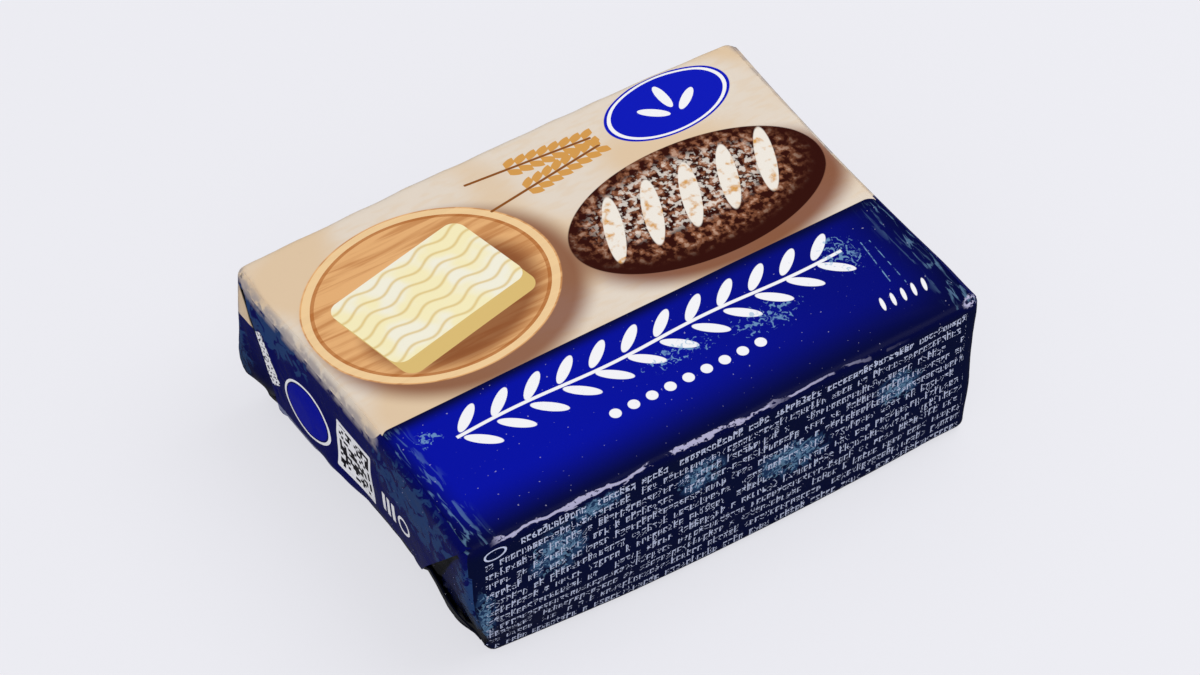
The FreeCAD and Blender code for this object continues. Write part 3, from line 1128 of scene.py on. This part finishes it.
@dataclass
class SheetBody:
    """The sheet drawn round the block, with its tucks pushed in at both ends."""

    low: Array
    high: Array
    name: str = "wrapper_body"
    edge_round: float = 2.0
    edge_segments: int = 5
    pitch: float = 0.75
    # the sheet's long waves, the puckers along its folds, the crumpled front left corner, the gathered ends
    wave_size: float = 21.0
    wave_depth: float = 0.16
    pucker_size: float = 5.5
    pucker_depth: float = 0.22
    pucker_reach: float = 2.6
    crumple_size: float = 4.2
    crumple_depth: float = 0.55
    crumple_reach: float = 11.0
    gather_size: float = 4.6
    gather_depth: float = 0.30
    # the step in the left end's front tuck: its depth, its height, and where it starts
    shelf_depth: float = 0.35
    shelf_height: float = 13.6
    shelf_start: float = -17.0
    # how far below the rim an end's faces still belong to the top flap's root
    root_band: float = 2.4
    # how far inside the block's box everything stays
    spare: float = 0.01
    random_creases: int = 70
    seed: int = 11

    def build(self, block: Piece) -> Piece:
        """Models the sheet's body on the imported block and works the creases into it.

        Args:
            block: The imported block.

        Returns:
            The body.
        """
        piece = self.blank()
        self.draw_onto(piece, block)
        map_sheet(piece, self.sheet_place)
        self.part(piece)
        self.work(piece)
        only(piece)
        bpy.ops.object.shade_smooth()
        return piece

    def blank(self) -> Piece:
        """Makes a box of the block's size with rounded edges, divided evenly.

        Returns:
            The box.
        """
        size, middle = self.high - self.low, (self.high + self.low) / 2
        bpy.ops.object.select_all(action="DESELECT")
        bpy.ops.mesh.primitive_cube_add(size=1.0, location=Vector(middle * MM))
        piece = bpy.context.object
        piece.name = piece.data.name = self.name
        piece.scale = Vector(size * MM)
        bpy.ops.object.transform_apply(location=True, rotation=True, scale=True)
        bpy.ops.object.mode_set(mode="EDIT")
        bpy.ops.mesh.select_all(action="SELECT")
        bpy.ops.mesh.bevel(offset=self.edge_round * MM, segments=self.edge_segments, affect="EDGES")
        bpy.ops.object.mode_set(mode="OBJECT")
        bpy.context.tool_settings.mesh_select_mode = (False, True, False)
        for axis in range(3):
            cuts = round((size[axis] - 2 * self.edge_round) / self.pitch) - 1
            select_edges(piece, lambda way, axis=axis: self.runs_along(way, axis))
            bpy.ops.object.mode_set(mode="EDIT")
            bpy.ops.mesh.subdivide(number_cuts=cuts)
            bpy.ops.object.mode_set(mode="OBJECT")
        return piece

    def runs_along(self, way: Vector, axis: int) -> bool:
        """Tells whether an edge runs along an axis, for more than the length of a rounding's own edges."""
        return abs(way[axis]) > 1.5 * self.edge_round * MM and abs(way[axis]) > 0.999 * way.length

    def draw_onto(self, piece: Piece, block: Piece) -> None:
        """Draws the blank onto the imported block's surface.

        Args:
            piece: The blank.
            block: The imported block.
        """
        only(piece)
        wrap = piece.modifiers.new("drawn_tight", "SHRINKWRAP")
        wrap.target = block
        wrap.wrap_method = "NEAREST_SURFACEPOINT"
        bpy.ops.object.modifier_apply(modifier=wrap.name)

    def part(self, piece: Piece) -> None:
        """Parts the faces between the top's, the sides' and the ends' print.

        Args:
            piece: The body.
        """
        for face in piece.data.polygons:
            along, across, up = (abs(value) for value in face.normal)
            if up > max(along, across) and face.normal.z > 0:
                face.material_index = 0
            else:
                face.material_index = 2 if along > across and along > up else 1

    def sheet_place(self, points: Array, normal: Array) -> tuple[Array, Array]:
        """Gives where points of one face lie on the flat sheet.

        Args:
            points: The face's corners.
            normal: The face's normal.

        Returns:
            Their u and v.
        """
        x, y, z = points.T
        half_width, height = self.high[1], self.high[2]
        end, side = math.copysign(1.0, x.mean()), math.copysign(1.0, y.mean())
        along, across, drop = np.abs(x), np.abs(y), height - z
        round_end = ease(along, self.high[0] - 4.0, self.high[0] - 2.0)
        steepest = int(np.argmax(np.abs(normal)))
        if steepest == 2 and normal[2] < 0:
            return x, side * (2 * half_width + height) - y
        if steepest == 2:
            round_side = ease(across, half_width - 4.0, half_width - 2.0)
            return x + end * drop * round_end, y + side * drop * round_side
        from_side = half_width - across
        down_side = side * (half_width + drop - from_side * ease(drop, 3.0, 1.0))
        if steepest == 1:
            return x + end * from_side * round_end * ease(drop, 1.0, 3.0), down_side
        if drop.mean() < self.root_band:
            return x + end * drop, y
        return x + end * from_side, side * (half_width + drop)

    def work(self, piece: Piece) -> None:
        """Draws the foot in and works waves, puckers and creases into the sheet, inside the block's box.

        Args:
            piece: The body.
        """
        set_points(piece, FootDraw().moved(points_of(piece)))
        points, normals = points_of(piece), at_vertices(piece, "normal")
        low, high = self.low, self.high
        rise = points[:, 2] - low[2]
        is_side, is_end = ease(np.abs(normals[:, 2]), 0.8, 0.3), ease(np.abs(normals[:, 0]), 0.5, 0.9)
        waves = ripple(points, self.wave_size, 3.1) * self.wave_depth * (0.5 + 0.5 * is_side)
        to_edges = np.minimum(points - low, high - points)
        to_edges[:, 2] = np.maximum(high[2] - points[:, 2], 0)
        near_fold = np.exp(-np.sort(to_edges, axis=1)[:, 1] / self.pucker_reach)
        puckers = ripple(points, self.pucker_size, 8.4, (1.0, 1.0, 0.6)) * self.pucker_depth * near_fold
        from_corner = np.hypot(points[:, 0] - low[0], points[:, 1] - low[1])
        corner = hump(from_corner, 0.0, self.crumple_reach) * ease(rise, 24.0, 4.0)
        crumple = -np.abs(ripple(points, self.crumple_size, 1.7)) * self.crumple_depth * corner
        gathers = -np.abs(ripple(points, self.gather_size, 5.9, (1.0, 1.0, 0.5))) * self.gather_depth * is_end
        dents = sum(crease.dent(points) for crease in self.creases())
        off_floor = ease(rise, 0.0, 2.5)
        moved = points + normals * ((waves + puckers + crumple + gathers - dents) * off_floor)[:, None]
        moved[:, 0] += self.tuck_shelf(points, normals) * off_floor
        inside = np.clip(moved, low + self.spare, high - self.spare)
        inside[:, 2] = np.where(rise < 0.35, points[:, 2], inside[:, 2])
        set_points(piece, inside)

    def tuck_shelf(self, points: Array, normals: Array) -> Array:
        """Gives how far the lower part of the left end's front tuck steps in under its upper part.

        Args:
            points: The body's vertices.
            normals: The normals at them.

        Returns:
            One step for each vertex.
        """
        at_left = ease(-normals[:, 0], 0.4, 0.8)
        shelf_line = self.shelf_height + (points[:, 1] + 19.0) * -0.06
        below = ease(shelf_line - points[:, 2], 0.0, 1.2)
        in_front = ease(points[:, 1], self.shelf_start, self.shelf_start - 2.5)
        fade_down = ease(points[:, 2], 0.5, 9.0)
        return self.shelf_depth * at_left * below * in_front * (0.35 + 0.65 * fade_down)

    def creases(self) -> Iterator[Crease]:
        """Gives the creases: some where the folds gather the sheet, and many small ones near the folds.

        Returns:
            The creases, one after another.
        """
        (left, front, _), (right, back, top) = self.low, self.high
        yield Crease((left + 1, front + 1, top - 2), (left + 3, front + 18, top - 18), 0.35, 0.7)
        yield Crease((left + 3, front + 17, 12.0), (left + 5, front + 2, 3.0), 0.30, 1.1)
        yield Crease((left + 4, front, 13.0), (left + 16, front, 3.0), 0.35, 0.9)
        yield Crease((left + 2, front + 0.5, 20.0), (left + 22, front, 14.0), -0.22, 0.9)
        yield Crease((left, back - 2, top - 6), (left, back - 7, 4.0), 0.3, 0.8)
        yield Crease((right, front + 1, top - 1), (right - 14, front, top - 7), 0.25, 0.8)
        yield Crease((left + 2, front, top - 1), (left + 30, front, top - 3), 0.22, 1.1)
        yield Crease((right - 6, front + 2, top), (right - 20, front + 5, top), 0.16, 1.0)
        chance = random.Random(self.seed)
        for _ in range(self.random_creases):
            end, side = chance.choice((left, right)), chance.choice((front, back))
            corner = np.array([end, side, chance.uniform(2, top)])
            spread = np.array([-math.copysign(chance.uniform(0, 14), end), 0.0, 0.0])
            if chance.random() < 0.6:
                spread = np.array([0.0, -math.copysign(chance.uniform(0, 26), side), 0.0])
            start = corner + spread
            angle, length = chance.uniform(0, math.tau), chance.uniform(2.5, 9.0)
            flat = np.array([math.cos(angle), 0.0, math.sin(angle)])
            if spread[1]:
                flat = np.array([0.0, math.cos(angle), math.sin(angle)])
            depth, width = chance.uniform(-0.16, 0.24), chance.uniform(0.35, 0.8)
            yield Crease(tuple(start), tuple(start + flat * length), depth, width)


@dataclass
class TopFlap:
    """The flap that comes down from the top over an end, its slanted sides folded back under it."""

    end: End
    low: Array
    high: Array
    kind: str = "top_flap"
    root_half: float = 36.0
    front_slant: float = 17.0
    back_slant: float = 13.0
    back_bend: float = 0.65
    # which way it is folded, down or up, how far it reaches, and how ragged its free edge is
    way: int = -1
    reach: float = 21.5
    raggedness: float = 1.0
    thickness: float = 0.28
    rows: int = 44
    columns: int = 110
    # how far the flap stands off the end all over, and along its free edge
    stand_off: float = 0.16
    edge_lift: float = 0.9
    # how far its slanted sides stand off, at the back and at the front
    side_lift: Point = (0.85, 0.35)
    # a soft bulge and a shallow hollow: how deep they are, and the y and z of their middles and reaches
    belly: float = 1.3
    belly_place: Patch = Patch((13.5, 15.5), (8.5, 6.5))
    hollow: float = 0.135
    hollow_place: Patch = Patch((0.0, 14.0), (6.0, 6.0))
    # where the end is taken to lie if a line misses it
    end_at: float = 49.0
    seed: float = 2.7

    def build(self, block: Piece) -> Piece:
        """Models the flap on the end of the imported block.

        Args:
            block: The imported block.

        Returns:
            The flap.
        """
        bpy.ops.object.select_all(action="DESELECT")
        bpy.ops.mesh.primitive_grid_add(x_subdivisions=self.columns, y_subdivisions=self.rows, size=2.0)
        piece = bpy.context.object
        piece.name = piece.data.name = f"{self.kind}_{self.end.name.lower()}"
        bpy.ops.object.transform_apply(location=True, rotation=True, scale=True)
        # the grid's own coordinates run from -1 to 1, in metres
        shares = points_of(piece) * MM
        set_points(piece, self.laid(block, shares[:, 0], (1 - shares[:, 1]) / 2))
        map_sheet(piece, self.sheet_place)
        self.finish(piece)
        return piece

    def outline(self, across: Array, down: Array) -> tuple[Array, Array]:
        """Gives the y and z of places on the flap.

        Args:
            across: From -1 at the front edge to 1 at the back edge.
            down: From 0 at the root to 1 at the free edge.

        Returns:
            Their y and z.
        """
        front = -self.root_half + self.front_slant * down
        back = self.root_half - self.back_slant * down**self.back_bend
        y = front + (back - front) * (across + 1) / 2
        ragged = self.raggedness * (0.5 * np.sin(y * 0.35 + self.seed) + 0.3 * np.sin(y * 0.9))
        return y, self.root_height + self.way * (self.reach + ragged * down**3) * down

    @property
    def root_height(self) -> float:
        """Gives how high the flap's root lies."""
        return self.high[2] - 0.4

    def laid(self, block: Piece, across: Array, down: Array) -> Array:
        """Lays the flap on the block's end, lifted off it along its free edge.

        Args:
            block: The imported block.
            across: From -1 at the front edge to 1 at the back edge.
            down: From 0 at the root to 1 at the free edge.

        Returns:
            The places of the flap's vertices, inside the block's box.
        """
        y, z = self.outline(across, down)
        side = self.end.value
        wall = np.array([self.wall(block, one_y, one_z) for one_y, one_z in zip(y, z)])
        flat = np.stack([wall, y, z], axis=1)
        bulge, dip = (
            hump(y, place.centre[0], place.half[0]) * hump(z, place.centre[1], place.half[1])
            for place in (self.belly_place, self.hollow_place)
        )
        free = ease(down, 0.75, 1.0) * (0.35 + 0.65 * ease(np.sin(y * 0.21 + 1.1), -0.4, 0.9))
        lift = self.stand_off * ease(down, 0.0, 0.12) + self.belly * bulge
        lift = lift + self.edge_lift * free * ease(y, -4.0, 6.0) - self.hollow * dip * ease(down, 0.2, 0.5)
        at_sides = ease(np.abs(across), 0.80, 1.0) * ease(down, 0.08, 0.4)
        sides = at_sides * np.where(across > 0, *self.side_lift)
        small = 0.14 * ripple(flat, 6.0, self.seed) + 0.10 * ripple(flat, 2.6, self.seed + 4.0)
        lift = lift + (sides + small) * ease(down, 0.03, 0.25)
        x = wall + side * np.maximum(lift, 0.02 * down)
        laid = FootDraw().moved(np.stack([x, y, z], axis=1))
        limit = (self.high[0] if side > 0 else -self.low[0]) - 0.02
        laid[:, 0] = side * np.minimum(side * laid[:, 0], limit - self.thickness / 2)
        return laid

    def wall(self, block: Piece, y: float, z: float) -> float:
        """Gives where a line along the block meets its end.

        Args:
            block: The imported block.
            y: The line's y.
            z: The line's z.

        Returns:
            The x of the meeting point.
        """
        side = self.end.value
        hit, place, _, _ = block.ray_cast(Vector((side * 0.1, y * MM, z * MM)), Vector((-side, 0, 0)))
        return place.x / MM if hit else side * self.end_at

    def sheet_place(self, points: Array, _normal: Array) -> tuple[Array, Array]:
        """Gives where a face's corners lie on the flat sheet, on from the top."""
        drop = self.high[2] - points[:, 2]
        return self.end.value * (np.abs(points[:, 0]) + drop), points[:, 1]

    def finish(self, piece: Piece) -> None:
        """Gives the flap its paper's thickness and turns its outer face outwards.

        Args:
            piece: The flap.
        """
        only(piece)
        bpy.ops.object.mode_set(mode="EDIT")
        bpy.ops.mesh.select_all(action="SELECT")
        bpy.ops.mesh.normals_make_consistent(inside=False)
        bpy.ops.object.mode_set(mode="OBJECT")
        if piece.data.polygons[0].normal.x * self.end.value < 0:
            piece.data.flip_normals()
        wall = piece.modifiers.new("paper", "SOLIDIFY")
        wall.thickness = self.thickness * MM
        wall.offset = 0.0
        bpy.ops.object.modifier_apply(modifier=wall.name)
        bpy.ops.object.shade_smooth_by_angle(angle=math.radians(50))


@dataclass
class FootFlap(TopFlap):
    """The flap that comes up from the foot over an end, under the top flap."""

    kind: str = "foot_flap"
    root_half: float = 33.0
    front_slant: float = 10.5
    back_slant: float = 10.5
    back_bend: float = 1.0
    way: int = 1
    reach: float = 10.0
    raggedness: float = 0.0
    rows: int = 24
    stand_off: float = 0.14
    edge_lift: float = 0.1
    side_lift: Point = (0.15, 0.1)
    belly: float = 0.0

    @property
    def root_height(self) -> float:
        """Gives how high the flap's root lies."""
        return 3.0

    def sheet_place(self, points: Array, _normal: Array) -> tuple[Array, Array]:
        """Gives where a face's corners lie on the flat sheet, on from the underside."""
        plan = PrintLayout()
        return self.end.value * (plan.half_length + points[:, 2]), -(plan.underside + points[:, 1])


@dataclass
class WrappedBlock:
    """The whole wrapper round the block."""

    block: Piece

    def build(self) -> list[Piece]:
        """Builds the wrapper's pieces, dresses them and lets them ride with the block.

        Returns:
            The pieces.
        """
        low, high = (np.array(corner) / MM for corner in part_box(BLOCK_NODE))
        pieces = [SheetBody(low, high).build(self.block)]
        for end in End:
            pieces.append(FootFlap(end, low, high).build(self.block))
            pieces.append(TopFlap(end, low, high).build(self.block))
        top, sides, ends = (finish().material for finish in (TopPrint, SidePrint, EndPrint))
        for piece in pieces:
            for material in (top, sides, ends) if piece is pieces[0] else (ends,):
                piece.data.materials.append(material)
            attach(piece, ROOT_BODY)
        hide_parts(BLOCK_NODE)
        return pieces


# ---- The studio ----


@dataclass(frozen=True)
class SoftBox:
    """A square soft light that points at the block."""

    name: str
    place: Spot
    size: float
    power: float

    def hang(self) -> None:
        """Hangs the light."""
        light = bpy.data.lights.new(self.name, "AREA")
        light.size, light.energy = self.size, self.power
        lamp = bpy.data.objects.new(self.name, light)
        lamp.location = self.place
        lamp.rotation_euler = (-Vector(self.place)).to_track_quat("-Z", "Y").to_euler()
        bpy.context.collection.objects.link(lamp)


@dataclass
class Studio:
    """A plain pale floor, soft light from above and the right, and the camera."""

    floor_colour: str = "#e9e9ef"
    backdrop_colour: str = "#efeff5"
    # how much of the backdrop's own colour the camera sees on the floor, the rest being the lit floor
    floor_share: float = 0.74
    # how bright the room looks in the wrapper's gloss
    gloss_strength: float = 0.10
    sky_strength: float = 0.62
    floor_size: float = 6.0
    lights: tuple[SoftBox, ...] = (
        SoftBox("key_light", (0.55, -0.15, 1.0), 0.9, 5.2),
        SoftBox("fill_light", (-0.7, -0.9, 0.7), 1.0, 3.2),
    )
    # the camera's turn round the block, its height and its roll in degrees, and the rest in millimetres
    azimuth: float = -32.248
    elevation: float = 47.09
    roll: float = -1.013
    distance: float = 759.3
    aim_right: float = -1.193
    aim_up: float = 12.754
    lens: float = 135.0

    def build(self) -> None:
        """Sets up the floor, the light and the camera."""
        self.floor()
        self.world()
        for light in self.lights:
            light.hang()
        self.camera()
        bpy.context.scene.view_settings.view_transform = "Standard"

    def shown(self, tree: bpy.types.NodeTree, lit: Socket, kind: str, share: float = 1.0) -> Socket:
        """Shows the backdrop's colour to the camera, a dim room in gloss, and a shader to the lamps' light.

        Args:
            tree: The node tree.
            lit: The shader that light meets.
            kind: The kind of shader that shows a plain colour there: Background or Emission.
            share: How much of the plain colour the camera gets, the rest being the lit shader.

        Returns:
            The mixed shader.
        """
        plain, dim = (
            add_node(tree, kind, {"Color": linear(self.backdrop_colour), "Strength": strength})[0]
            for strength in (1.0, self.gloss_strength)
        )
        path = add_node(tree, "LightPath")
        seen = add_node(tree, "Math", {0: path["Is Camera Ray"], 1: share}, operation="MULTIPLY")[0]
        direct = add_node(tree, "MixShader", {0: seen, 1: lit, 2: plain})[0]
        return add_node(tree, "MixShader", {0: path["Is Glossy Ray"], 1: direct, 2: dim})[0]

    def floor(self) -> None:
        """Lays the floor."""
        bpy.ops.object.select_all(action="DESELECT")
        bpy.ops.mesh.primitive_plane_add(size=self.floor_size)
        floor = bpy.context.object
        floor.name = floor.data.name = "floor"
        material = bpy.data.materials.new("pale_floor")
        material.use_nodes = True
        tree = material.node_tree
        tree.nodes.clear()
        matt = add_node(tree, "BsdfDiffuse", {"Color": linear(self.floor_colour)})[0]
        add_node(tree, "OutputMaterial", {"Surface": self.shown(tree, matt, "Emission", self.floor_share)})
        floor.data.materials.append(material)
        floor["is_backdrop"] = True

    def world(self) -> None:
        """Lights the scene evenly from all round, and shows the backdrop's own colour."""
        world = bpy.data.worlds.new("studio")
        bpy.context.scene.world = world
        world.use_nodes = True
        tree = world.node_tree
        tree.nodes.clear()
        sky = {"Color": (1.0, 1.0, 1.0, 1.0), "Strength": self.sky_strength}
        soft = add_node(tree, "Background", sky)[0]
        add_node(tree, "OutputWorld", {"Surface": self.shown(tree, soft, "Background")})

    def camera(self) -> None:
        """Places the camera by its turn round the block, its height and its distance."""
        turn, rise, roll = (math.radians(angle) for angle in (self.azimuth, self.elevation, self.roll))
        back = Vector((math.sin(turn) * math.cos(rise), -math.cos(turn) * math.cos(rise), math.sin(rise)))
        level = Vector((0, 0, 1)).cross(back).normalized()
        upright = back.cross(level)
        right = level * math.cos(roll) + upright * math.sin(roll)
        up = upright * math.cos(roll) - level * math.sin(roll)
        data = bpy.data.cameras.new("camera")
        data.lens, data.clip_end = self.lens, 20.0
        camera = bpy.data.objects.new("camera", data)
        place = (back * self.distance + right * self.aim_right + up * self.aim_up) * MM
        camera.matrix_world = Matrix.Translation(place) @ Matrix((right, up, back)).transposed().to_4x4()
        bpy.context.collection.objects.link(camera)
        bpy.context.scene.camera = camera


def main() -> None:
    """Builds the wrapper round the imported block, then the studio."""
    logging.basicConfig(level=logging.INFO, format="%(message)s")
    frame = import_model()
    cad_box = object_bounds()
    for piece in WrappedBlock(frame["nodes"][BLOCK_NODE]).build():
        LOG.info("%s: %d faces", piece.name, len(piece.data.polygons))
    Studio().build()
    sizes = {"cad_box": cad_box, "visual_box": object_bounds()}
    {name: [list(corner) for corner in box] for name, box in sizes.items()}


if __name__ == "__main__":
    main()
